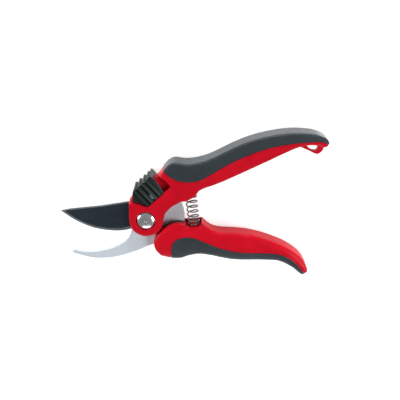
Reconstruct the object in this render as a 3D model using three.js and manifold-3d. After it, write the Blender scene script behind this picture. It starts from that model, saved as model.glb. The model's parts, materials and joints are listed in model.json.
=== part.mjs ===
// Bypass pruning shears, open, lying on their back. Millimetres, +Z up.
//
// Every shape is drawn in the shear plane: the pivot axis is x = y = 0, +X runs to the handle
// ends, and z = 0 is the plane in which the two blades slide on each other. The whole assembly
// is then lifted so that it rests on z = 0.

import * as THREE from "three";
import { mergeVertices } from "three/addons/utils/BufferGeometryUtils.js";
import Module from "manifold-3d";

const wasm = await Module();
wasm.setup();

// ---------------------------------------------------------------- driving dimensions

const gap = 0.3;                    // between pieces that don't turn on each other
const play = 0.4;                   // more room, round pieces that slide or turn
const through = [-20, 20];          // heights of a cut that goes right through
const lift = 9;                     // from the resting plane up to the shear plane

const bladeZ = [0.1, 3.1];          // cutting blade, bottom and top
const anvilZ = [-4.1, -0.1];        // counter-blade, bottom and top
const closingAngle = 31;            // degrees that the lower handle turns to close

const shellHalf = 8.6;              // half thickness of the red shells
const gripHalf = 9;                 // half thickness over the grips
const upperBevel = 2;               // rounding of the handles' rims
const lowerBevel = 2.5;
const gripSkin = 2.5;               // thickness of the soft grip over the core
const coreHalf = 6.2;               // half thickness of the core under the grips

const lobeRadius = 12.4;            // the upper handle's round end, set a little below the pivot
const lobeCentre = [0.2, -0.6];
const lobeRoom = 13.4;              // bore in the lower handle that the lobe turns in
const hubRadius = 12.4;             // the blades' round hubs
const boltRadius = 4;
const boltEnd = -7.8;
const bushRadius = 5.2;
const bladeBore = 5.5;
const boltHeadRadius = 6.2;
const boltHeadZ = [6, 9.4];
const boltRecessRadius = 7.1;
const nutRadius = 6;
const washerThickness = 0.5;
const recessFloor = 5.4;            // seat of the bolt head in the lobe
const backSeat = -5.6;              // seat of the nut and its spring washer
const fanRadius = 28;               // round end of the counter-blade's tail, about the pivot
const channelRadius = 28.6;         // slot in the lower handle that the fan turns in
const channelZ = [-4.8, 0.2];

const slideAngle = 42;              // degrees, direction in which the catch slides
const slideTravel = 3;
const neckHalf = 4.6;               // half thickness of the neck under the catch
const neckTop = 18.2;               // top of the neck, across the slide direction
const catchPinAt = [11, 8.4];       // along and across the slide direction
const catchPinRadius = 1.25;
const guidePinAt = [16.2, 10.8];
const guidePinRadius = 0.9;
const guideHeadRadius = 1.95;
const guideHeadZ = [6.4, 8.1];

const springRadius = 4;             // to the middle of the wire
const wireRadius = 0.55;
const springTurns = 6.5;
const springFoot = [35, -5];        // middle of the lowest turn
const springHead = [32.3, 20.9];    // middle of the highest turn
const studRadius = 2.9;             // stud of a spring seat, inside the spring
const studLength = 2.5;
const seatThickness = 0.6;
const seatBack = 1.6;               // back of the upper seat, behind the spring's head
const cupReach = 14;
const seatFloor = -6.5;             // floor of the spring pocket in the lower handle
const pocketX = [28.6, 40.3];

const screwRadius = 1.4;
const screwHeadRadius = 2.6;
const screwHeadZ = [-7.2, -5.2];
const screwEnd = 5.5;
const tangHole = screwRadius + 0.5; // hole for a screw in a blade's tang
const loopHalf = 2.2;               // half thickness of the hanging loop
const upperScrews = [[22, 27.5], [48, 32.2], [90, 51.3]];
const lowerScrews = [[36.5, -10.5], [60, -17.5], [95, -22.6]];

// ---------------------------------------------------------------- looks

function plain(color, roughness, metalness) {
  return () => new THREE.MeshStandardMaterial({ color, roughness, metalness, flatShading: true });
}

const redPlastic = plain(0xc8141e, 0.35, 0);
const slateRubber = plain(0x343e44, 0.7, 0);
const blackPlastic = plain(0x14181b, 0.5, 0);
const coatedSteel = plain(0x1d232a, 0.45, 0.3);
const satinSteel = plain(0xb9c1c9, 0.35, 1);
const brightSteel = plain(0xd6dade, 0.2, 1);
const springSteel = plain(0x6a6e73, 0.35, 1);

// ---------------------------------------------------------------- solids

function toSolid(geometry) {
  const bare = geometry.clone();
  bare.deleteAttribute("normal");
  bare.deleteAttribute("uv");
  const merged = mergeVertices(bare, 1e-4);
  const corners = merged.index.array;
  const kept = [];
  for (let i = 0; i < corners.length; i += 3) {
    const [a, b, c] = [corners[i], corners[i + 1], corners[i + 2]];
    if (a !== b && b !== c && c !== a) {
      kept.push(a, b, c);
    }
  }
  const vertProperties = new Float32Array(merged.attributes.position.array);
  const triVerts = new Uint32Array(kept);
  return new wasm.Manifold(new wasm.Mesh({ numProp: 3, vertProperties, triVerts }));
}

function toGeometry(solid) {
  const mesh = solid.getMesh();
  const geometry = new THREE.BufferGeometry();
  geometry.setAttribute("position", new THREE.BufferAttribute(mesh.vertProperties, 3));
  geometry.setIndex(new THREE.BufferAttribute(mesh.triVerts, 1));
  geometry.computeVertexNormals();
  return geometry;
}

// A straight prism on an outline. With a bevel, its edges are rounded inside the outline.
function prism(outline, [bottom, top], bevel = 0, bevelSegments = 3) {
  const shape = new THREE.Shape(outline.map(([x, y]) => new THREE.Vector2(x, y)));
  const geometry = new THREE.ExtrudeGeometry(shape, {
    depth: top - bottom - 2 * bevel,
    bevelEnabled: bevel > 0,
    bevelThickness: bevel,
    bevelSize: bevel,
    bevelOffset: -bevel,
    bevelSegments,
  });
  geometry.translate(0, 0, bottom + bevel);
  return toSolid(geometry);
}

function rod([x, y], radius, [bottom, top], sides = 20) {
  const geometry = new THREE.CylinderGeometry(radius, radius, top - bottom, sides);
  geometry.rotateX(Math.PI / 2);
  geometry.translate(x, y, (bottom + top) / 2);
  return toSolid(geometry);
}

function ring(centre, inner, outer, heights, sides = 32) {
  const [bottom, top] = heights;
  return rod(centre, outer, heights, sides).subtract(rod(centre, inner, [bottom - 1, top + 1], sides));
}

function box([x0, x1], [y0, y1], [z0, z1]) {
  const geometry = new THREE.BoxGeometry(x1 - x0, y1 - y0, z1 - z0);
  geometry.translate((x0 + x1) / 2, (y0 + y1) / 2, (z0 + z1) / 2);
  return toSolid(geometry);
}

// A body of revolution about the pivot axis, from (radius, z) points.
function turned(profile, sides = 32) {
  const points = profile.map(([r, z]) => new THREE.Vector2(r, z));
  const geometry = new THREE.LatheGeometry(points, sides);
  geometry.rotateX(Math.PI / 2);
  return toSolid(geometry);
}

// A cylinder in the shear plane, from one point towards another.
function plug([x0, y0], [x1, y1], radius, sides = 20) {
  const length = Math.hypot(x1 - x0, y1 - y0);
  const geometry = new THREE.CylinderGeometry(radius, radius, length, sides);
  geometry.rotateZ(Math.atan2(y1 - y0, x1 - x0) - Math.PI / 2);
  geometry.translate((x0 + x1) / 2, (y0 + y1) / 2, 0);
  return toSolid(geometry);
}

// ---------------------------------------------------------------- outlines

function smooth(points, steps) {
  const curve = new THREE.SplineCurve(points.map(([x, y]) => new THREE.Vector2(x, y)));
  return curve.getPoints(steps).map((p) => [p.x, p.y]);
}

function arc([cx, cy], radius, fromDegrees, toDegrees, steps) {
  const points = [];
  for (let i = 0; i <= steps; i++) {
    const angle = THREE.MathUtils.degToRad(fromDegrees + ((toDegrees - fromDegrees) * i) / steps);
    points.push([cx + radius * Math.cos(angle), cy + radius * Math.sin(angle)]);
  }
  return points;
}

// Moves every side of a counter-clockwise outline outwards by a distance (inwards if negative).
function offset(outline, distance, closed = true) {
  const count = outline.length;
  return outline.map(([x, y], i) => {
    const mirrored = ([mx, my]) => [2 * x - mx, 2 * y - my];
    const isStart = !closed && i === 0;
    const isEnd = !closed && i === count - 1;
    const [px, py] = isStart ? mirrored(outline[1]) : outline[(i + count - 1) % count];
    const [nx, ny] = isEnd ? mirrored([px, py]) : outline[(i + 1) % count];
    const before = new THREE.Vector2(y - py, px - x).normalize();
    const after = new THREE.Vector2(ny - y, x - nx).normalize();
    const middle = before.clone().add(after).normalize();
    const reach = distance / Math.max(0.5, middle.dot(after));
    return [x + middle.x * reach, y + middle.y * reach];
  });
}

// From (along the slide, across it) to (x, y).
function onSlide([along, across]) {
  const angle = THREE.MathUtils.degToRad(slideAngle);
  const [c, s] = [Math.cos(angle), Math.sin(angle)];
  return [along * c - across * s, along * s + across * c];
}

function turnedBy([x, y], degrees) {
  const angle = THREE.MathUtils.degToRad(degrees);
  const [c, s] = [Math.cos(angle), Math.sin(angle)];
  return [x * c - y * s, x * s + y * c];
}

// ---------------------------------------------------------------- upper handle

const upperCrest = smooth([[122.2, 63.3], [116, 64.7], [101.1, 65.2], [82.2, 62], [66.1, 56.3],
  [49.8, 48], [41, 44.6], [33, 43], [27.4, 43], [21.1, 43.9], [16.7, 41.6]], 26);

const upperOutline = [
  ...smooth([[12.5, -1], [13.9, 4.5], [16.7, 8.3], [20.4, 11.4], [26, 14.4]], 8),
  ...smooth([[29.5, 14.6], [35.2, 17.9], [37, 20.2], [38.9, 22.8], [42.8, 24.9], [55, 29.5], [81.7, 42.4],
    [97, 50.2], [108, 55.2], [115, 56.6], [120.5, 56.4], [125.2, 55.1]], 26),
  ...smooth([[127.2, 55.3], [128.5, 57.1], [128.2, 59.5], [126, 61.7]], 4),
  ...upperCrest,
  [12.6, 37],
  onSlide([31, neckTop]),
  onSlide([3, neckTop]),
  [-12, 13],
  [-12.2, 4],
  ...arc(lobeCentre, lobeRadius, 180, 350, 16),
];

const upperGripRegion = [
  ...smooth([[10, 41], [13.1, 38.9], [15.6, 36], [21.3, 32], [28, 30.3], [34.8, 30.4],
    [41.5, 32.6], [54.9, 40.9], [68.1, 48], [83.8, 54.2], [99.5, 57.8], [115.2, 59.5],
    [123.1, 59.6], [127.5, 58.2], [134, 54]], 34),
  [140, 80],
  [10, 80],
];

const upperCore = [[14, 33], [24, 27], [36, 27], [60, 40], [84, 50], [124, 54]];

const catchRecess = [
  [-13, 15.4],
  [1.7, 10.7],
  onSlide([31.8, 6.9]),
  onSlide([31.7, 12.8]),
  onSlide([30.4, 18.8]),
  onSlide([30.6, 26]),
  [-16, 32],
];

const loopOutline = [
  ...smooth([[109.5, 54.2], [112.8, 52.7], [116.6, 51], [120, 49.2], [122.6, 48.9],
    [124.8, 50.4], [126.3, 53], [126.6, 58]], 14),
  [109.5, 58],
];

const loopEye = [
  ...smooth([[113.6, 55.8], [115.2, 53.6], [117.4, 51.9], [120.4, 51.2], [121.9, 52.4], [122.2, 54.8]], 10),
  [121.8, 57],
  [114.2, 57],
];

// The room that a grip takes: all round the handle on the grip's side, less the core inside it.
function gripRoom(region, crest, coreSide, clearance) {
  const coreOutline = [...coreSide, ...offset(crest, -gripSkin, false)];
  const half = coreHalf - clearance;
  const core = prism(offset(coreOutline, -clearance), [-half, half]);
  return prism(offset(region, clearance), through).subtract(core);
}

function grip(room, outline, bevel) {
  const proud = gripHalf - shellHalf;
  return prism(offset(outline, proud), [-gripHalf, gripHalf], bevel).intersect(room);
}

function slot([along, across], halfWidth, heights, travel) {
  const ends = [[along, across], [along + travel, across]];
  const middle = [
    onSlide([along, across - halfWidth]),
    onSlide([along + travel, across - halfWidth]),
    onSlide([along + travel, across + halfWidth]),
    onSlide([along, across + halfWidth]),
  ];
  return ends.reduce((cut, end) => cut.add(rod(onSlide(end), halfWidth, heights)), prism(middle, heights));
}

function screwHole(at) {
  const [headBottom, headTop] = screwHeadZ;
  const counterbore = rod(at, screwHeadRadius + gap, [headBottom - 4, headTop]);
  return counterbore.add(rod(at, screwRadius + gap, [headTop - 1, screwEnd + gap]));
}

function frontHalf(solid) {
  return solid.intersect(box([-200, 200], [-200, 200], [0, 50]));
}

function backHalf(solid) {
  return solid.intersect(box([-200, 200], [-200, 200], [-50, 0]));
}

// A point on the spring's axis, at a distance from its head towards its foot.
function onSpring(distance) {
  const [hx, hy] = springHead;
  const [fx, fy] = springFoot;
  const share = distance / Math.hypot(fx - hx, fy - hy);
  return [hx + (fx - hx) * share, hy + (fy - hy) * share];
}

// The round cup in the upper handle that the spring and its seat stand in.
function springCup() {
  return plug(onSpring(-seatBack - gap), onSpring(cupReach), springRadius + wireRadius + 3 * gap);
}

function upperShellBlank() {
  const [below, above] = through;
  const cuts = [
    gripRoom(upperGripRegion, upperCrest, upperCore, gap),
    prism(catchRecess, [neckHalf, above]),
    prism(catchRecess, [below, -neckHalf]),
    rod([0, 0], boltRadius + play, through, 32),
    rod([0, 0], boltRecessRadius, [recessFloor, above], 32),
    rod([0, 0], nutRadius + play, [below, backSeat], 32),
    springCup(),
    prism(offset(loopOutline, gap), [-loopHalf - gap, loopHalf + gap]),
    ...upperScrews.map(screwHole),
  ];
  const blank = prism(upperOutline, [-shellHalf, shellHalf], upperBevel);
  return cuts.reduce((body, cut) => body.subtract(cut), blank);
}

function upperFrontShell() {
  return frontHalf(upperShellBlank())
    .subtract(rod([0, 0], plateRadius + 2 * gap, [-1, bladeZ[1] + gap], 40))
    .subtract(slot(catchPinAt, catchPinRadius + play, through, slideTravel))
    .subtract(slot(guidePinAt, guidePinRadius + gap, through, slideTravel));
}

function upperBackShell() {
  return backHalf(upperShellBlank()).subtract(prism(offset(anvilOutline, gap), [anvilZ[0] - gap, 1]));
}

function upperGrip() {
  return grip(gripRoom(upperGripRegion, upperCrest, upperCore, 0), upperOutline, upperBevel);
}

function hangingLoop() {
  return prism(loopOutline, [-loopHalf, loopHalf], 0.4, 1).subtract(prism(loopEye, through));
}

// ---------------------------------------------------------------- counter-blade

const anvilOutline = [
  ...smooth([[-56.9, -29], [-56.2, -29.9], [-53, -31], [-47.4, -32.7], [-41.6, -34], [-35.9, -34.4],
    [-27, -33.7], [-18.3, -31.6], [-6.6, -27.4], [3.3, -22.6], [10, -23.5], [17, -22.2]], 24),
  ...arc([0, 0], fanRadius, -46, 40, 16),
  [23.6, 23.4],
  ...smooth([[27, 25.4], [40, 28], [50, 31.2], [60, 36]], 6),
  [58, 41],
  ...smooth([[48, 38], [32, 35], [20, 32.6], onSlide([26, 11])], 6),
  onSlide([8, 11]),
  ...arc([0, 0], hubRadius, 118, 216, 10),
  ...smooth([[-13.1, -15.8], [-15.3, -19], [-18.3, -21.6], [-22.5, -24.2], [-27.3, -26.4],
    [-33.2, -28], [-39.1, -29], [-46, -29.2], [-51.3, -28.5], [-54.6, -27.3], [-56.3, -27.3]], 18),
];

function counterBlade() {
  const screws = upperScrews.slice(0, 2).map((at) => rod(at, tangHole, through));
  return screws
    .reduce((body, cut) => body.subtract(cut), prism(anvilOutline, anvilZ))
    .subtract(rod([0, 0], bladeBore, through, 32));
}

// ---------------------------------------------------------------- cutting blade

const plateStart = 38;              // degrees, the part of the hub that holds the catch slot
const plateShoulder = 76;           // from here on the plate is lower, so that it stays in the neck
const plateEnd = 88;
const plateRadius = 19.6;
const plateLowRadius = 17.9;

const bladeOutline = [
  ...smooth([[-63, 5.1], [-55.7, -0.7], [-50.3, -4.1], [-44.9, -6.8], [-39.4, -8.9], [-33.9, -10.2],
    [-28.2, -11], [-22.6, -11.3], [-16.9, -10.9], [-12, -9.6]], 18),
  ...arc([0, 0], hubRadius, 236, 296, 6),
  ...smooth([[14, -16], [28, -17.6], [42, -17.4], [54, -21], [66, -23]], 8),
  [66.4, -16],
  ...smooth([[53, -13], [43, -9.6], [34, -8.6], [28, -8]], 5),
  [26.8, -6.8],
  ...smooth([[26.6, -3.4], [23, -2.95], [19.8, -3.65], [16.9, -4.95], [14.1, -6.6], [12.2, -7.9]], 9),
  [11.3, -5.6],
  ...arc([0, 0], hubRadius, -20, plateStart - 4, 6),
  ...arc([0, 0], plateRadius, plateStart, plateShoulder, 8),
  ...arc([0, 0], plateLowRadius, plateShoulder + 4, plateEnd, 3),
  ...arc([0, 0], hubRadius + 1.6, plateEnd + 6, 118, 4),
  [-11.2, 12.6],
  [-33.2, 8.9],
  [-55.8, 6.6],
];

// The catch pin's track: an arc about the pivot, with a notch at the open and the closed end.
function catchTrack() {
  const halfWidth = catchPinRadius + play;
  const [x, y] = onSlide(catchPinAt);
  const radius = Math.hypot(x, y);
  const angle = THREE.MathUtils.radToDeg(Math.atan2(y, x));
  const sweep = [
    ...arc([0, 0], radius - halfWidth, angle - closingAngle, angle, 8),
    ...arc([0, 0], radius + halfWidth, angle, angle - closingAngle, 8),
  ];
  const notch = [onSlide(catchPinAt), onSlide([catchPinAt[0] + slideTravel, catchPinAt[1]])];
  let track = prism(sweep, through);
  for (const turn of [0, -closingAngle]) {
    const [inner, outer] = notch.map((point) => turnedBy(point, turn));
    const across = [-(outer[1] - inner[1]), outer[0] - inner[0]];
    const scale = halfWidth / Math.hypot(...across);
    const side = [across[0] * scale, across[1] * scale];
    track = track
      .add(rod(inner, halfWidth, through))
      .add(rod(outer, halfWidth, through))
      .add(prism([
        [inner[0] - side[0], inner[1] - side[1]],
        [outer[0] - side[0], outer[1] - side[1]],
        [outer[0] + side[0], outer[1] + side[1]],
        [inner[0] + side[0], inner[1] + side[1]],
      ], through));
  }
  return track;
}

function cuttingBlade() {
  const screws = lowerScrews.slice(0, 2).map((at) => rod(at, tangHole, through));
  return screws
    .reduce((body, cut) => body.subtract(cut), prism(bladeOutline, bladeZ))
    .subtract(rod([0, 0], bladeBore, through, 32))
    .subtract(catchTrack());
}

// ---------------------------------------------------------------- lower handle

const lowerCrest = smooth([[16.2, -30.9], [24.8, -31], [29.5, -29.3], [35, -27.8], [41, -27.4],
  [49, -28.8], [58.6, -31.2], [69.6, -32.4], [92.4, -32.4], [98, -33], [103.5, -35.1], [109.3, -38.7]], 28);

const lowerOutline = [
  ...smooth([[6.6, -13.6], [5, -19], [6.6, -25.4], [10.4, -29.4]], 6),
  ...lowerCrest,
  [114.3, -43.2],
  ...smooth([[116.6, -44.6], [119.6, -43.6], [120.4, -41], [119.1, -37.6], [116.2, -32.6],
    [112.5, -28.6], [107, -24.6], [101.4, -21.3], [93.3, -17.7], [85.3, -14.8], [77.4, -12.6],
    [69.5, -11.3], [61.7, -10.7], [54, -10.3], [49.1, -9], [44.6, -6.2], [40.9, -2.6]], 30),
  ...smooth([[36, -3.4], [31, -3.8], [27.4, -3.5], [23, -2.9], [19.8, -3.6], [16.9, -4.9], [14.1, -6.5],
    [11.4, -8.5], [9, -10.8]], 14),
];

const lowerGripRegion = [
  [18, -60],
  [125, -60],
  ...smooth([[118.5, -46], [116.6, -42], [110.5, -34.4], [104, -29.8], [97.6, -27.2], [88.2, -26.4],
    [77.2, -26.3], [67.9, -25.7], [58.5, -23.6], [50.6, -20.9], [42.8, -17.4], [35.9, -14.4],
    [29.7, -13.4], [23.9, -14.5], [20, -17.5], [18.3, -22.7], [18, -32]], 34),
];

const lowerCore = [[112, -34], [92, -23], [60, -19], [36, -10], [22, -12], [14, -20]];

function lowerShellBlank() {
  const cuts = [
    gripRoom(lowerGripRegion, lowerCrest, lowerCore, gap),
    rod([0, 0], lobeRoom, through, 40),
    rod([0, 0], channelRadius, channelZ, 56),
    box(pocketX, [seatFloor, seatFloor + 16], [-springRadius - wireRadius - 4 * gap, through[1]]),
    ...lowerScrews.map(screwHole),
  ];
  const blank = prism(lowerOutline, [-shellHalf, shellHalf], lowerBevel);
  return cuts.reduce((body, cut) => body.subtract(cut), blank);
}

function lowerFrontShell() {
  return frontHalf(lowerShellBlank()).subtract(prism(offset(bladeOutline, gap), [-1, bladeZ[1] + gap]));
}

function lowerBackShell() {
  return backHalf(lowerShellBlank());
}

function lowerGrip() {
  return grip(gripRoom(lowerGripRegion, lowerCrest, lowerCore, 0), lowerOutline, lowerBevel);
}

// ---------------------------------------------------------------- pivot

function pivotBolt() {
  const [under, crown] = boltHeadZ;
  return turned([
    [0, boltEnd],
    [boltRadius, boltEnd],
    [boltRadius, under],
    [boltHeadRadius, under],
    [boltHeadRadius, crown - 1.1],
    [boltHeadRadius - 0.8, crown - 0.5],
    [boltHeadRadius - 3, crown],
    [1.2, crown],
    [0, crown - 0.6],
  ]);
}

function pivotNut() {
  const chamfer = 0.6;
  const seat = backSeat - washerThickness;
  return turned([
    [0, -lift],
    [nutRadius - chamfer, -lift],
    [nutRadius, -lift + chamfer],
    [nutRadius, seat],
    [boltRadius + gap, seat],
    [boltRadius + gap, boltEnd - 0.2],
    [0, boltEnd - 0.2],
  ]);
}

function pivotFrontWasher() {
  return ring([0, 0], boltRadius + gap, boltHeadRadius + gap, [recessFloor, boltHeadZ[0]]);
}

function pivotSpringWasher() {
  return ring([0, 0], boltRadius + gap, nutRadius, [backSeat - washerThickness, backSeat]);
}

function pivotBush() {
  return ring([0, 0], boltRadius + gap, bushRadius, [anvilZ[0], bladeZ[1]]);
}

// ---------------------------------------------------------------- spring

class CoilCurve extends THREE.Curve {
  getPoint(t, target = new THREE.Vector3()) {
    const [fx, fy] = springFoot;
    const [hx, hy] = springHead;
    const length = Math.hypot(hx - fx, hy - fy);
    const turn = t * springTurns * 2 * Math.PI;
    const side = (springRadius * Math.cos(turn)) / length;
    const x = fx + (hx - fx) * t + (hy - fy) * side;
    const y = fy + (hy - fy) * t - (hx - fx) * side;
    return target.set(x, y, springRadius * Math.sin(turn));
  }
}

function returnSpring() {
  const sides = 6;
  const section = new THREE.Shape(arc([0, 0], wireRadius, 0, 360, sides).slice(0, -1)
    .map(([x, y]) => new THREE.Vector2(x, y)));
  const geometry = new THREE.ExtrudeGeometry(section, {
    steps: 78,
    extrudePath: new CoilCurve(),
    bevelEnabled: false,
  });
  return toSolid(geometry);
}

function upperSpringSeat() {
  const plate = plug(onSpring(-seatBack), onSpring(seatThickness - seatBack), springRadius + wireRadius);
  return plate.add(plug(onSpring(-seatBack), onSpring(studLength - seatBack), studRadius));
}

function lowerSpringSeat() {
  const x = springFoot[0] - gap;
  const base = seatFloor + gap / 2;
  const plate = plug([x, base], [x, base + seatThickness], springRadius + wireRadius);
  return plate.add(plug([x, base], [x, base + studLength], studRadius));
}

// ---------------------------------------------------------------- safety catch

const catchPlateHalf = 7.8;
const catchRibHalf = 8.9;
const catchPlateTop = 22;           // across the slide direction
const catchRibTop = 26;             // taller than the ribs, which it only tapers
const catchPinZ = [0.4, 6.5];
const ribTips = [10.4, 14.6, 18.8, 22.8, 25.7];

function catchOutline(top) {
  return [[9, 7.2], [24.6, 7.2], [26.4, 19], [26.4, top], [8, top], [3.4, 17.2]].map(onSlide);
}

function catchRib(tip) {
  const [low, high] = [tip - 1.7, tip + 0.7];
  const outline = [[low, 7.5], [high, 7.5], [high, 22.6], [tip - 0.2, 23.3], [low, 21.9]];
  return prism(outline.map(onSlide), [-catchRibHalf, catchRibHalf]);
}

function catchSlider() {
  const saddleTop = neckTop + gap;
  const saddle = [[-5, 0], [45, 0], [45, saddleTop], [-5, saddleTop]].map(onSlide);
  const ribs = ribTips.slice(1).reduce((body, tip) => body.add(catchRib(tip)), catchRib(ribTips[0]));
  const [, pinEnd] = catchPinZ;
  const [headStart, headEnd] = guideHeadZ;
  return prism(catchOutline(catchPlateTop), [-catchPlateHalf, catchPlateHalf])
    .add(ribs.intersect(prism(catchOutline(catchRibTop), through)))
    .subtract(prism(saddle, [-neckHalf - gap, neckHalf + gap]))
    .subtract(rod(onSlide(catchPinAt), catchPinRadius + gap, [0, pinEnd + gap]))
    .subtract(rod(onSlide(guidePinAt), guidePinRadius + gap, [0, headEnd]))
    .subtract(rod(onSlide(guidePinAt), guideHeadRadius + gap / 3, [headStart - gap / 3, headEnd + gap / 3]));
}

function catchPin() {
  return rod(onSlide(catchPinAt), catchPinRadius, catchPinZ, 16);
}

// Holds the slider on the neck. The flat head shows between two ribs.
function catchGuidePin() {
  const [headStart] = guideHeadZ;
  const shank = rod(onSlide(guidePinAt), guidePinRadius, [bladeZ[1] + 2 * gap, headStart + gap], 16);
  return shank.add(rod(onSlide(guidePinAt), guideHeadRadius, guideHeadZ, 24));
}

// ---------------------------------------------------------------- screws

function screw(at) {
  const [headBottom, headTop] = screwHeadZ;
  const [x, y] = at;
  const [armLength, armHalf] = [1.8, 0.35];
  const depths = [headBottom - 1, headBottom + 1];
  const shank = rod(at, screwRadius, [headTop - 0.5, screwEnd], 12);
  return rod(at, screwHeadRadius, screwHeadZ, 16)
    .add(shank)
    .subtract(box([x - armLength, x + armLength], [y - armHalf, y + armHalf], depths))
    .subtract(box([x - armHalf, x + armHalf], [y - armLength, y + armLength], depths));
}

// ---------------------------------------------------------------- assembly

const shears = new THREE.Group();
shears.position.z = lift;

function place(name, solid, material) {
  const mesh = new THREE.Mesh(toGeometry(solid), material());
  mesh.name = name;
  shears.add(mesh);
}

place("counter_blade", counterBlade(), satinSteel);
place("upper_front_shell", upperFrontShell(), redPlastic);
place("upper_back_shell", upperBackShell(), redPlastic);
place("upper_grip", upperGrip(), slateRubber);
place("hanging_loop", hangingLoop(), redPlastic);
place("pivot_bolt", pivotBolt(), brightSteel);
place("pivot_nut", pivotNut(), brightSteel);
place("pivot_front_washer", pivotFrontWasher(), satinSteel);
place("pivot_spring_washer", pivotSpringWasher(), springSteel);
place("pivot_bush", pivotBush(), satinSteel);
place("upper_spring_seat", upperSpringSeat(), redPlastic);
place("return_spring", returnSpring(), springSteel);

place("cutting_blade", cuttingBlade(), coatedSteel);
place("lower_front_shell", lowerFrontShell(), redPlastic);
place("lower_back_shell", lowerBackShell(), redPlastic);
place("lower_grip", lowerGrip(), slateRubber);
place("lower_spring_seat", lowerSpringSeat(), redPlastic);

place("catch_slider", catchSlider(), blackPlastic);
place("catch_pin", catchPin(), brightSteel);
place("catch_guide_pin", catchGuidePin(), brightSteel);

upperScrews.forEach((at, i) => place(`upper_shell_screw_${i + 1}`, screw(at), brightSteel));
lowerScrews.forEach((at, i) => place(`lower_shell_screw_${i + 1}`, screw(at), brightSteel));

const assembly = new THREE.Group();
assembly.add(shears);

export default assembly;
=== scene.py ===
"""Looks for the bypass pruning shears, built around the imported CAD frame. Metres, +Z up."""

import json
import math

import bmesh
import bpy
import numpy as np
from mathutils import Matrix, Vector


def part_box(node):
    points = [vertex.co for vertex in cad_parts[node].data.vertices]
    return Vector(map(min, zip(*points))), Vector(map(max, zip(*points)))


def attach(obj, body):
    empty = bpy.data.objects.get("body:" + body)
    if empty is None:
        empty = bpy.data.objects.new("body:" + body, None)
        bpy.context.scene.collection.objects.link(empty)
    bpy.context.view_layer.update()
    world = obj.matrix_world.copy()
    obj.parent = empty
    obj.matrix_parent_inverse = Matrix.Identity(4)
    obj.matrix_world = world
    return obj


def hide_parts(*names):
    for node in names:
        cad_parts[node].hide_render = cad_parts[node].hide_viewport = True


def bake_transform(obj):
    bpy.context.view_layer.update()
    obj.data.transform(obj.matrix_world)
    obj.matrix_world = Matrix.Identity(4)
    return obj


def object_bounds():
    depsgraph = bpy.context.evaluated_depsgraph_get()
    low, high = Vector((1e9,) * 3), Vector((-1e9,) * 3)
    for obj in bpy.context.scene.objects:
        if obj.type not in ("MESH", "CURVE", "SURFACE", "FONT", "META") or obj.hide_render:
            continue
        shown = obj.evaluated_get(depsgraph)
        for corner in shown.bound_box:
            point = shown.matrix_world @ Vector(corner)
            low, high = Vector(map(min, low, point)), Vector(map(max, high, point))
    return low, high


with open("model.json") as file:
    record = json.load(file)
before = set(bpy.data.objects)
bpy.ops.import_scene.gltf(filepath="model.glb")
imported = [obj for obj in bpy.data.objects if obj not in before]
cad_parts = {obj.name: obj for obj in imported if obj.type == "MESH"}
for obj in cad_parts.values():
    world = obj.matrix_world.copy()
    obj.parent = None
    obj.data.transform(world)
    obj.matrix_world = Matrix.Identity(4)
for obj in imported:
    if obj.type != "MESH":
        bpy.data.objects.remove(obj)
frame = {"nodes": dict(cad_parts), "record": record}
CAD_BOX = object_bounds()
BODY_OF = {
    node: body
    for body, nodes in frame["record"]["behaviour"]["bodies"].items()
    for node in nodes
}
SLOT_OF = {entry["node"]: entry["material_slot"] for entry in frame["record"]["subparts"]}

# ---------------------------------------------------------------- places taken from the frame

BLADE_LOW, BLADE_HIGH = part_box("cutting_blade")
BOLT_LOW, BOLT_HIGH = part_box("pivot_bolt")
SPRING_LOW, SPRING_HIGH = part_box("return_spring")
PIN_LOW, PIN_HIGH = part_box("catch_guide_pin")
SHEAR_Z = (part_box("counter_blade")[1].z + BLADE_LOW.z) / 2

SPRING_FOOT = Vector((0.035, -0.005, SHEAR_Z))        # on the seat in the lower handle
SPRING_HEAD = Vector((0.0323, 0.0209, SHEAR_Z))       # on the seat in the upper handle

# ---------------------------------------------------------------- sizes of the finer shapes

EDGE_ROUND = 0.00035          # small moulded radius on every edge
BLADE_ROUND = 0.00025         # the ground plate has crisper edges
SCREW_ROUND = 0.0002
CUT_STEP = 0.002              # grid that lets a flat face be crowned
GRIND_STEP = 0.0006           # finer grid for the ground edge of the blade
SLIVER = 0.0005               # a cut's end closer than this to a corner is joined to it

SAME_POINT = 2e-6             # points closer than this are one point
ON_PLANE = 1e-7               # points closer than this to a cut lie on it
FLAT_JOIN = math.radians(1.0)        # faces that bend less than this are one flat face
FLAT_WALL = math.radians(0.5)        # the same for the walls between two of the grid's lines
RIM_ANGLE = math.radians(20.0)       # edges sharper than this are a rim
CORNER_ANGLE = math.radians(40.0)    # edges sharper than this are rounded

# Middle lines of the handles: (x, y, half width). The faces fall away from these lines.
UPPER_RIDGE = [
    (0.0, 0.0, 0.013), (0.014, 0.012, 0.011), (0.03, 0.03, 0.013), (0.055, 0.041, 0.011),
    (0.08, 0.051, 0.0105), (0.105, 0.06, 0.007), (0.126, 0.0595, 0.006),
]
LOWER_RIDGE = [
    (0.017, -0.019, 0.0125), (0.036, -0.018, 0.011), (0.06, -0.021, 0.0105),
    (0.085, -0.023, 0.0095), (0.103, -0.0285, 0.0085), (0.117, -0.041, 0.006),
]
UPPER_CROWN = 0.0006          # how much lower a face is at the rim than on the ridge
LOWER_CROWN = 0.0019
HALF_DEPTH = 0.009            # height over the shear plane where the crown has its full depth

# A noise stays mostly between these two values.
NOISE_LOW, NOISE_HIGH = 0.3, 0.7


# ---------------------------------------------------------------- material nodes

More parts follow.
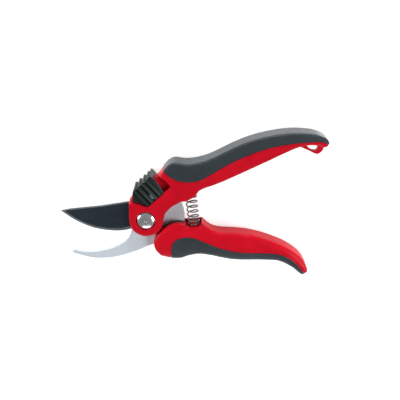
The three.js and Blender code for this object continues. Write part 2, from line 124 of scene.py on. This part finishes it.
class Nodes:
    """A short way to write a node tree."""

    MIX_COLOURS = (6, 7)      # sockets of the Mix node when it mixes colours
    MIX_RESULT = 2

    def __init__(self, name):
        self.material = bpy.data.materials.new(name)
        self.material.use_nodes = True
        self.tree = self.material.node_tree
        self.shader = self.tree.nodes["Principled BSDF"]
        self.place = self.add("ShaderNodeTexCoord").outputs["Object"]

    def add(self, kind, **settings):
        """A new node; a setting is one of its own or the value of an input."""
        node = self.tree.nodes.new(kind)
        for key, value in settings.items():
            if hasattr(node, key):
                setattr(node, key, value)
            else:
                node.inputs[key.replace("_", " ")].default_value = value
        return node

    def link(self, output, target):
        self.tree.links.new(output, target)

    def stretched(self, scale):
        """Object coordinates, scaled apart in x, y and z."""
        mapping = self.add("ShaderNodeMapping", Scale=scale)
        self.link(self.place, mapping.inputs["Vector"])
        return mapping.outputs["Vector"]

    def noise(self, scale, detail=4.0, vector=None):
        node = self.add("ShaderNodeTexNoise", Scale=scale, Detail=detail)
        self.link(vector or self.place, node.inputs["Vector"])
        return node.outputs["Fac"]

    def between(self, factor, first, second):
        """Goes from the first colour to the second with a noise."""
        node = self.add("ShaderNodeValToRGB")
        self.link(factor, node.inputs["Fac"])
        stops = zip(node.color_ramp.elements, (NOISE_LOW, NOISE_HIGH), (first, second))
        for element, position, colour in stops:
            element.position = position
            element.color = (*colour, 1.0)
        return node.outputs["Color"]

    def spread(self, factor, low, high):
        """Goes from low to high with a noise."""
        node = self.add(
            "ShaderNodeMapRange", From_Min=NOISE_LOW, From_Max=NOISE_HIGH, To_Min=low, To_Max=high)
        self.link(factor, node.inputs["Value"])
        return node.outputs["Result"]

    def edges_worn_and_highlit(self, base, low, high, worn_highlit_colour):
        """The base colour, turned to a lighter colour along convex edges: a painted edge
        highlight, and edge wear.
        """
        geometry = self.add("ShaderNodeNewGeometry")
        edges = self.add("ShaderNodeMapRange", From_Min=low, From_Max=high)
        self.link(geometry.outputs["Pointiness"], edges.inputs["Value"])
        node = self.add("ShaderNodeMix", data_type="RGBA")
        first, second = (node.inputs[index] for index in self.MIX_COLOURS)
        self.link(edges.outputs["Result"], node.inputs["Factor"])
        self.link(base, first)
        # The lighter edge colour is a painted highlight on convex edges, partly edge wear.
        second.default_value = (*worn_highlit_colour, 1.0)
        return node.outputs[self.MIX_RESULT]

    def bump(self, heights, strength, distance):
        """Adds the heights to the surface, one bump node on the other."""
        last = None
        for height in heights:
            node = self.add("ShaderNodeBump", Strength=strength, Distance=distance)
            self.link(height, node.inputs["Height"])
            if last:
                self.link(last.outputs["Normal"], node.inputs["Normal"])
            last = node
        self.link(last.outputs["Normal"], self.shader.inputs["Normal"])

    def colour(self, output):
        self.link(output, self.shader.inputs["Base Color"])

    def roughness(self, output):
        self.link(output, self.shader.inputs["Roughness"])

    def set(self, **values):
        for key, value in values.items():
            self.shader.inputs[key.replace("_", " ")].default_value = value


def red_plastic():
    n = Nodes("red_plastic")
    base = n.between(n.noise(60.0), (0.47, 0.003, 0.013), (0.57, 0.005, 0.017))
    # Lighter red along convex edges: a painted edge highlight.
    n.colour(n.edges_worn_and_highlit(base, 0.54, 0.66, (0.58, 0.008, 0.02)))
    n.roughness(n.spread(n.noise(900.0), 0.30, 0.40))
    n.bump([n.noise(2600.0, 2.0)], 0.10, 0.0001)
    n.set(Specular_IOR_Level=0.1)
    return n.material


def slate_rubber():
    n = Nodes("slate_rubber")
    base = n.between(n.noise(80.0), (0.012, 0.019, 0.024), (0.017, 0.026, 0.033))
    # Lighter grey along convex edges: edge wear and a painted edge highlight.
    n.colour(n.edges_worn_and_highlit(base, 0.62, 0.9, (0.04, 0.05, 0.055)))
    n.roughness(n.spread(n.noise(500.0), 0.50, 0.64))
    grain = n.add("ShaderNodeTexVoronoi", Scale=1900.0)
    n.link(n.place, grain.inputs["Vector"])
    n.bump([grain.outputs["Distance"], n.noise(400.0)], 0.22, 0.00012)
    n.set(Specular_IOR_Level=0.4, Sheen_Weight=0.9, Sheen_Roughness=0.3)
    return n.material


def black_plastic():
    n = Nodes("black_plastic")
    base = n.between(n.noise(90.0), (0.004, 0.007, 0.007), (0.009, 0.013, 0.013))
    # Lighter along convex edges: a painted edge highlight.
    n.colour(n.edges_worn_and_highlit(base, 0.54, 0.68, (0.06, 0.08, 0.08)))
    n.roughness(n.spread(n.noise(700.0), 0.30, 0.46))
    n.bump([n.noise(2200.0, 2.0)], 0.15, 0.0001)
    n.set(Specular_IOR_Level=0.35)
    return n.material


def coated_steel():
    """Blue-black coating over a plate that was ground along its length."""
    n = Nodes("coated_steel")
    base = n.between(n.noise(45.0), (0.012, 0.021, 0.031), (0.022, 0.034, 0.046))
    # Lighter along convex edges: a painted edge highlight.
    n.colour(n.edges_worn_and_highlit(base, 0.58, 0.8, (0.05, 0.06, 0.07)))
    scratch = n.noise(60.0, 8.0, n.stretched((1.0, 14.0, 1.0)))
    n.roughness(n.spread(scratch, 0.34, 0.5))
    grind = n.noise(120.0, 6.0, n.stretched((1.0, 22.0, 1.0)))
    n.bump([grind, n.noise(1800.0, 2.0)], 0.08, 0.00008)
    n.set(Metallic=0.35)
    return n.material


def satin_steel():
    """Bare ground steel: one noise gives its lines in colour, gloss and height."""
    n = Nodes("satin_steel")
    ground = n.noise(150.0, 8.0, n.stretched((20.0, 1.0, 1.0)))
    n.colour(n.between(ground, (0.66, 0.74, 0.80), (0.79, 0.86, 0.92)))
    n.roughness(n.spread(ground, 0.30, 0.44))
    n.bump([ground], 0.10, 0.00006)
    n.set(Metallic=0.35)
    return n.material


def bright_steel():
    n = Nodes("bright_steel")
    n.colour(n.between(n.noise(300.0), (0.66, 0.67, 0.68), (0.76, 0.77, 0.78)))
    n.roughness(n.spread(n.noise(900.0, 6.0), 0.18, 0.27))
    n.bump([n.noise(1400.0, 4.0)], 0.03, 0.00004)
    n.set(Metallic=0.85)
    return n.material


def spring_steel():
    n = Nodes("spring_steel")
    drawn = n.noise(700.0, 6.0)
    n.colour(n.between(drawn, (0.10, 0.10, 0.11), (0.24, 0.24, 0.25)))
    n.roughness(n.spread(drawn, 0.25, 0.42))
    n.bump([drawn], 0.1, 0.00006)
    n.set(Metallic=1.0)
    return n.material


def pale_floor():
    """A white floor that glows a little, so that shadows on it stay faint."""
    n = Nodes("pale_floor")
    shade = n.between(n.noise(3.0), (0.59, 0.59, 0.59), (0.61, 0.61, 0.61))
    n.colour(shade)
    n.link(shade, n.shader.inputs["Emission Color"])
    n.set(Roughness=0.9, Specular_IOR_Level=0.1, Emission_Strength=1.15)
    return n.material


MATERIALS = {
    "red_plastic": red_plastic(),
    "slate_rubber": slate_rubber(),
    "black_plastic": black_plastic(),
    "coated_steel": coated_steel(),
    "satin_steel": satin_steel(),
    "bright_steel": bright_steel(),
    "spring_steel": spring_steel(),
}


# ---------------------------------------------------------------- mesh helpers

def finish_piece(piece, node, smooth_angle=35.0):
    """Gives a piece its material, body and slot, and lets it stand for its CAD node."""
    slot = SLOT_OF[node]
    piece.data.materials.append(MATERIALS[slot])
    piece.data.shade_smooth()
    piece.data.set_sharp_from_angle(angle=math.radians(smooth_angle))
    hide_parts(node)
    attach(piece, BODY_OF[node])


def new_piece(name, bm):
    mesh = bpy.data.meshes.new(name)
    bm.to_mesh(mesh)
    bm.free()
    piece = bpy.data.objects.new(name, mesh)
    bpy.context.scene.collection.objects.link(piece)
    return piece


def clean_copy(node):
    """A bmesh of a CAD node with its triangles joined back into flat faces."""
    bm = bmesh.new()
    bm.from_mesh(frame["nodes"][node].data)
    bmesh.ops.remove_doubles(bm, verts=bm.verts, dist=SAME_POINT)
    bmesh.ops.dissolve_limit(bm, angle_limit=FLAT_JOIN, verts=bm.verts, edges=bm.edges)
    return bm


def round_edges(piece, width):
    """Rounds the corners, and shades each large face as flat as it is."""
    bevel = piece.modifiers.new("round", "BEVEL")
    bevel.width = width
    bevel.segments = 2
    bevel.limit_method = "ANGLE"
    bevel.angle_limit = CORNER_ANGLE
    even = piece.modifiers.new("even_shading", "WEIGHTED_NORMAL")
    even.keep_sharp = True


def cut_grid(bm, step, end_x=math.inf):
    """Cuts the faces along a grid in x and y, fitted to the points with x below end_x."""
    points = np.array([v.co for v in bm.verts])
    points = points[points[:, 0] < end_x]
    for axis in (0, 1):
        normal = Vector((axis == 0, axis == 1, 0))
        low, high = points[:, axis].min(), points[:, axis].max()
        for place in np.arange(low + step / 2, high, step):
            geometry = bm.verts[:] + bm.edges[:] + bm.faces[:]
            bmesh.ops.bisect_plane(
                bm, geom=geometry, dist=ON_PLANE, plane_co=normal * place, plane_no=normal)


def is_upright(face):
    return abs(face.normal.z) < 0.1


def join_walls(bm):
    """Takes the grid's lines off the upright walls, which stay flat."""
    bm.normal_update()
    lines = [
        e for e in bm.edges
        if len(e.link_faces) == 2
        and all(is_upright(face) for face in e.link_faces)
        and e.calc_face_angle() < FLAT_WALL
    ]
    bmesh.ops.dissolve_edges(bm, edges=lines, use_verts=False)


def drop_slivers(bm, first_verts):
    """Joins a cut's end on a rim to a corner close beside it, so that no sliver is left there."""
    targets = {}
    used = set()
    for vert in bm.verts:
        if vert in first_verts or vert in used:
            continue
        for edge in vert.link_edges:
            corner = edge.other_vert(vert)
            on_rim = len(edge.link_faces) == 2 and edge.calc_face_angle() > RIM_ANGLE
            if on_rim and edge.calc_length() < SLIVER and corner not in targets:
                targets[vert] = corner
                used.update((vert, corner))
                break
    bmesh.ops.weld_verts(bm, targetmap=targets)


def ridge_share(x, y, ridge):
    """Distance from the ridge line as a share of the half width there, squared, at most 1."""
    best = np.full(len(x), 1.0)
    for (x0, y0, w0), (x1, y1, w1) in zip(ridge, ridge[1:]):
        length = (x1 - x0) ** 2 + (y1 - y0) ** 2
        t = np.clip(((x - x0) * (x1 - x0) + (y - y0) * (y1 - y0)) / length, 0, 1)
        reach = np.hypot(x - x0 - t * (x1 - x0), y - y0 - t * (y1 - y0)) / (w0 + t * (w1 - w0))
        best = np.minimum(best, reach ** 2)
    return best


def crown(bm, ridge, amount):
    """Lowers the outer faces towards the rim, on both sides of the shear plane."""
    points = np.array([v.co for v in bm.verts])
    z = points[:, 2] - SHEAR_Z
    depth = np.abs(z) / HALF_DEPTH
    fall = amount * ridge_share(points[:, 0], points[:, 1], ridge) * depth ** 2
    for vert, drop, side in zip(bm.verts, fall, np.sign(z)):
        vert.co.z -= drop * side


def moulded(node, ridge, amount):
    """A shell or grip: the CAD shape with crowned faces and rounded edges."""
    bm = clean_copy(node)
    corners = set(bm.verts)
    cut_grid(bm, CUT_STEP)
    join_walls(bm)
    drop_slivers(bm, corners)
    crown(bm, ridge, amount)
    piece = new_piece(node + "_fine", bm)
    round_edges(piece, EDGE_ROUND)
    finish_piece(piece, node)


def softened(node, width):
    """The CAD shape with rounded edges."""
    piece = new_piece(node + "_fine", clean_copy(node))
    round_edges(piece, width)
    finish_piece(piece, node)


def turned(name, profile, steps, middle=(0, 0)):
    """A solid of revolution about an upright axis, from (radius, z) points."""
    bm = bmesh.new()
    x, y = middle
    angles = [2 * math.pi * i / steps for i in range(steps)]
    rings = []
    for radius, z in profile:
        around = angles if radius else [0.0]
        rings.append([
            bm.verts.new((x + radius * math.cos(a), y + radius * math.sin(a), z)) for a in around
        ])
    for lower, upper in zip(rings, rings[1:]):
        for i in range(steps):
            j = i + 1
            corners = [
                lower[i % len(lower)], lower[j % len(lower)],
                upper[j % len(upper)], upper[i % len(upper)],
            ]
            bm.faces.new(list(dict.fromkeys(corners)))
    bmesh.ops.recalc_face_normals(bm, faces=bm.faces)
    return new_piece(name, bm)


def wire_mesh(line, start, axis, radius, around):
    """A round wire along a line that winds round an axis, closed at both ends."""
    bm = bmesh.new()
    angles = [2 * math.pi * i / around for i in range(around)]
    rings = []
    for i, point in enumerate(line):
        before, after = line[max(0, i - 1)], line[min(len(line) - 1, i + 1)]
        along = (after - before).normalized()
        outward = (point - start - axis * (point - start).dot(axis)).normalized()
        across = along.cross(outward).normalized()
        outward = across.cross(along)
        rings.append([
            bm.verts.new(point + radius * (math.cos(a) * outward + math.sin(a) * across))
            for a in angles
        ])
    for lower, upper in zip(rings, rings[1:]):
        for i in range(around):
            j = (i + 1) % around
            bm.faces.new((lower[i], lower[j], upper[j], upper[i]))
    bm.faces.new(rings[0])
    bm.faces.new(list(reversed(rings[-1])))
    bmesh.ops.recalc_face_normals(bm, faces=bm.faces)
    return bm


# ---------------------------------------------------------------- pieces

def handles():
    for node in ("upper_front_shell", "upper_back_shell", "upper_grip"):
        moulded(node, UPPER_RIDGE, UPPER_CROWN)
    for node in ("lower_front_shell", "lower_back_shell", "lower_grip"):
        moulded(node, LOWER_RIDGE, LOWER_CROWN)


def cutting_edge(bm, edge_start):
    """The (x, y) points of the blade's lower rim, from edge_start to the tip."""
    rim = np.array([v.co for v in bm.verts if any(abs(f.normal.z) < 0.5 for f in v.link_faces)])
    free = rim[rim[:, 0] < edge_start]
    tip_y, start_y = 0.005, 0.0009       # a line from the tip that parts the two rims
    middle_y = np.interp(free[:, 0], (BLADE_LOW.x, edge_start), (tip_y, start_y))
    return free[free[:, 1] < middle_y][:, :2]


def cutting_blade():
    """The plate with its long ground bevel along the lower, cutting edge."""
    bared = -0.009                       # the blade leaves the handle here
    edge_start = -0.012
    grind_width = 0.003
    edge_share = 0.06                    # of the thickness is left at the edge
    top_face = BLADE_HIGH.z - 0.00001
    thickness = BLADE_HIGH.z - BLADE_LOW.z
    bm = clean_copy("cutting_blade")
    cut_grid(bm, GRIND_STEP, bared)
    edge = cutting_edge(bm, edge_start)
    for vert in bm.verts:
        if vert.co.z < top_face or vert.co.x > bared:
            continue
        away = np.hypot(*(edge - np.array(vert.co[:2])).T).min()
        share = min(1.0, away / grind_width)
        vert.co.z = BLADE_LOW.z + thickness * (edge_share + (1 - edge_share) * share)
    piece = new_piece("cutting_blade_fine", bm)
    round_edges(piece, BLADE_ROUND)
    finish_piece(piece, "cutting_blade", 25.0)


def pivot_bolt():
    """The domed head with its rim and small centre dimple, on a plain shank."""
    head = BOLT_HIGH.x
    shank = 0.625 * head
    bottom, top = BOLT_LOW.z, BOLT_HIGH.z
    under = top - 0.0034
    chamfer, lip = 0.0004, 0.0002
    dome_rise = 0.0013
    dome_span = math.radians(75)
    dimple = 0.0009
    profile = [
        (0, bottom), (shank - chamfer, bottom), (shank, bottom + chamfer), (shank, under),
        (head - lip, under), (head, under + lip), (head, top - dome_rise - 0.0001),
    ]
    for angle in map(math.radians, range(75, 8, -4)):
        fall = dome_rise * (1 - math.cos(angle)) / (1 - math.cos(dome_span))
        profile.append((head * math.sin(angle), top - fall))
    profile += [(dimple, top - 0.0001), (dimple - lip, top - 0.0005), (0, top - 0.0006)]
    finish_piece(turned("pivot_bolt_fine", profile, 72), "pivot_bolt", 40.0)


def guide_pin():
    """The pin's head is slightly domed, so that it glints between the ribs."""
    middle = (PIN_LOW + PIN_HIGH) / 2
    head = (PIN_HIGH.x - PIN_LOW.x) / 2
    shank = 0.46 * head
    bottom, top = PIN_LOW.z, PIN_HIGH.z
    under = top - 0.0017
    dome_rise = 0.0006
    profile = [(0, bottom), (shank, bottom), (shank, under), (head, under)]
    for angle in map(math.radians, range(90, 0, -10)):
        profile.append((head * math.sin(angle), top - dome_rise * (1 - math.cos(angle))))
    profile.append((0, top))
    piece = turned("catch_guide_pin_fine", profile, 48, middle.xy)
    finish_piece(piece, "catch_guide_pin")


def coil_line(radius, wire, turns, closed, per_turn):
    """The wire's middle line from foot to head: free turns between two closed ends."""
    axis = (SPRING_HEAD - SPRING_FOOT).normalized()
    side = Vector((axis.y, -axis.x, 0))
    length = (SPRING_HEAD - SPRING_FOOT).length
    all_turns = turns + 2 * closed
    end_rise = 1.1 * wire
    line = []
    for i in range(int(all_turns * per_turn) + 1):
        turn = i / per_turn
        rise = np.interp(
            turn, (0, closed, closed + turns, all_turns), (0, end_rise, length - end_rise, length))
        angle = 2 * math.pi * turn
        upward = Vector((0, 0, radius * math.sin(angle)))
        line.append(SPRING_FOOT + axis * rise + side * radius * math.cos(angle) + upward)
    return line


def return_spring():
    """The coil, with a closed turn at each end."""
    wire = 0.0005
    radius = (SPRING_HIGH.z - SPRING_LOW.z) / 2 - wire
    line = coil_line(radius, wire, turns=6.5, closed=0.7, per_turn=28)
    axis = (SPRING_HEAD - SPRING_FOOT).normalized()
    piece = new_piece("return_spring_fine", wire_mesh(line, SPRING_FOOT, axis, wire, around=10))
    piece.data.materials.append(MATERIALS["spring_steel"])
    piece.data.shade_smooth()
    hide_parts("return_spring")
    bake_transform(piece)


def small_pieces():
    for node in ("counter_blade", "hanging_loop", "pivot_nut", "catch_slider"):
        softened(node, EDGE_ROUND)
    for node in SLOT_OF:
        if "screw" in node:
            softened(node, SCREW_ROUND)


def carried_over():
    """Every CAD node gets its finished material, whether or not a finer piece replaces it."""
    for node, slot in SLOT_OF.items():
        mesh = frame["nodes"][node].data
        mesh.materials.clear()
        mesh.materials.append(MATERIALS[slot])


# ---------------------------------------------------------------- stage

def stage():
    reach = 3.0
    gap = 0.0002                         # keeps the floor just clear of the lowest faces
    bm = bmesh.new()
    bmesh.ops.create_grid(bm, x_segments=8, y_segments=8, size=reach)
    floor = new_piece("floor", bm)
    floor.location.z = CAD_BOX[0].z - gap
    floor.data.materials.append(pale_floor())


def light(name, place, size, power):
    """A round soft light that points at the middle of the shears."""
    middle = Vector((0.035, 0.01, 0.0))
    data = bpy.data.lights.new(name, "AREA")
    data.shape = "DISK"
    data.size = size
    data.energy = power
    lamp = bpy.data.objects.new(name, data)
    lamp.location = place
    lamp.rotation_euler = (middle - Vector(place)).to_track_quat("-Z", "Y").to_euler()
    bpy.context.scene.collection.objects.link(lamp)


def lights():
    world = bpy.data.worlds.new("studio")
    world.use_nodes = True
    background = world.node_tree.nodes["Background"]
    background.inputs["Color"].default_value = (1, 1, 1, 1)
    background.inputs["Strength"].default_value = 0.12
    bpy.context.scene.world = world
    light("back_softbox", (0.05, 1.0, 0.2), size=0.35, power=9.0)
    light("left_softbox", (-0.9, 0.1, 0.46), size=0.5, power=7.0)
    light("right_fill", (0.75, -0.1, 0.62), size=0.5, power=6.5)
    light("front_softbox", (0.0, -0.9, 0.38), size=0.7, power=3.0)


def camera():
    """The view from the front of the shears, tilted 22 degrees towards the catch side."""
    tilt = math.radians(22.0)
    distance = 0.438
    aim = Vector((0.03937, 0.01314, SHEAR_Z))
    data = bpy.data.cameras.new("camera")
    data.lens = 54.0
    data.sensor_width = 36.0
    eye = bpy.data.objects.new("camera", data)
    eye.location = aim + Vector((0, math.sin(tilt), math.cos(tilt))) * distance
    eye.rotation_euler = (-tilt, 0, 0)
    bpy.context.scene.collection.objects.link(eye)
    bpy.context.scene.camera = eye


carried_over()
handles()
cutting_blade()
pivot_bolt()
guide_pin()
return_spring()
small_pieces()
stage()
lights()
camera()
bpy.context.scene.view_settings.view_transform = "Standard"
